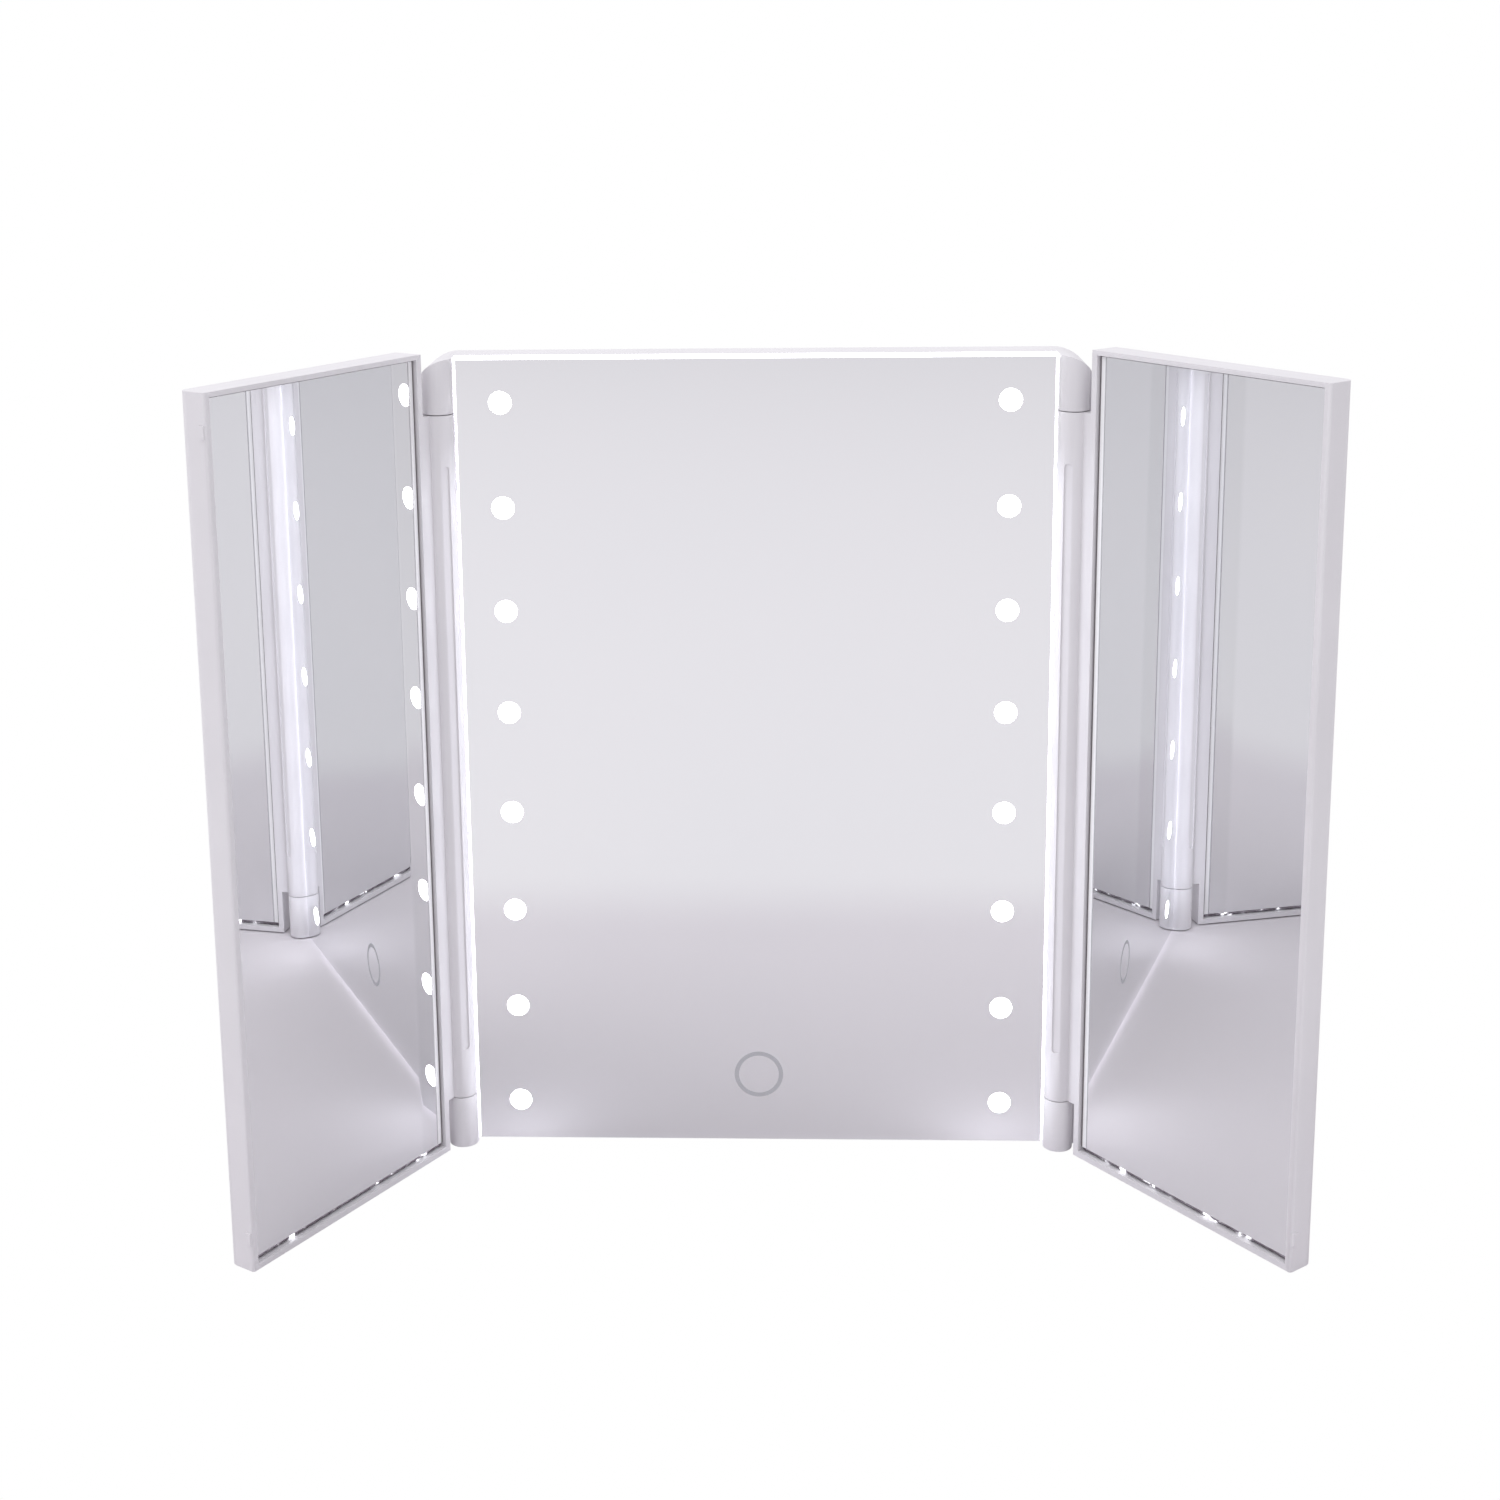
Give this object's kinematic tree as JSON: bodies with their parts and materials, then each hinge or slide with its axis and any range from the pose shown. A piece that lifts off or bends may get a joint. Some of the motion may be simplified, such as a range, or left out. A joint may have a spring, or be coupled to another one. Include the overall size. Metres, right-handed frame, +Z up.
{
  "type": "lighted vanity mirror",
  "caption": "Folding three-panel table make-up mirror with white housing, two columns of light windows down the centre glass, touch ring and side wings on hinges.",
  "frame": {"origin": "middle of the foot strip's underside, on the table, on the housing's centre line and in the plane where the front frame meets the rear cover", "axes": "+Z up, -Y out of the centre glass towards the user, +X to the right as seen from in front; X is the longest extent with the wings part-open"},
  "size_m": [0.3025, 0.1046, 0.2499],
  "materials": {
    "white_plastic": "satin moulded white plastic",
    "mirror_glass": "silvered flat glass",
    "frosted_window": "frosted window with the silvering left off, lit from behind",
    "ring_print": "grey print in the glass",
    "diffuser": "milky light-guide panel",
    "white_board": "white LED circuit strip",
    "led_white": "LED package",
    "green_board": "solder-masked circuit board",
    "black_plastic": "black moulded plastic",
    "knob_black": "black slide knob",
    "spring_steel": "spring wire",
    "contact_steel": "nickel-plated strip",
    "screw_steel": "zinc-plated screw",
    "pin_steel": "ground steel pin",
    "cell_jacket": "plain cell jacket",
    "foot_rubber": "soft non-slip strip",
    "wire_jacket": "insulated wire",
    "foam_tape": "double-sided foam tape",
    "bush_plastic": "low-friction bush"
  },
  "bodies": {
    "housing": {"front_frame": "white_plastic", "rear_cover": "white_plastic", "light_panel": "diffuser", "centre_glass": "mirror_glass", "led_windows": "frosted_window", "touch_ring": "ring_print", "left_led_strip": "white_board", "right_led_strip": "white_board", "left_leds": "led_white", "right_leds": "led_white", "touch_board": "green_board", "board_parts": "black_plastic", "touch_spring": "spring_steel", "battery_cells": "cell_jacket", "battery_contacts": "contact_steel", "battery_springs": "spring_steel", "switch_body": "black_plastic", "cover_screws": "screw_steel", "foot_strip": "foot_rubber", "wires": "wire_jacket", "left_hinge_pins": "pin_steel", "right_hinge_pins": "pin_steel"},
    "left_wing": {"left_wing_frame": "white_plastic", "left_wing_glass": "mirror_glass", "left_wing_tape": "foam_tape", "left_hinge_bushes": "bush_plastic"},
    "right_wing": {"right_wing_frame": "white_plastic", "right_wing_glass": "mirror_glass", "right_wing_tape": "foam_tape", "right_hinge_bushes": "bush_plastic"},
    "battery_door": {"battery_door": "white_plastic"},
    "power_switch": {"switch_knob": "knob_black"}
  },
  "joints": [
    {"name": "left_wing_hinge", "type": "hinge", "parent": "housing", "child": "left_wing", "pos_m": [-0.0925, -0.0132, 0.125], "axis": [0, 0, -1], "range_deg": [-122, 58]},
    {"name": "right_wing_hinge", "type": "hinge", "parent": "housing", "child": "right_wing", "pos_m": [0.0925, -0.0132, 0.125], "axis": [0, 0, 1], "range_deg": [-127.6, 52.4]},
    {"name": "battery_door_lift", "type": "slide", "parent": "housing", "child": "battery_door", "axis": [0, 1, 0], "range_m": [0, 0.03]},
    {"name": "power_switch_slide", "type": "slide", "parent": "housing", "child": "power_switch", "axis": [0, 0, 1], "range_m": [-0.003, 0]}
  ]
}
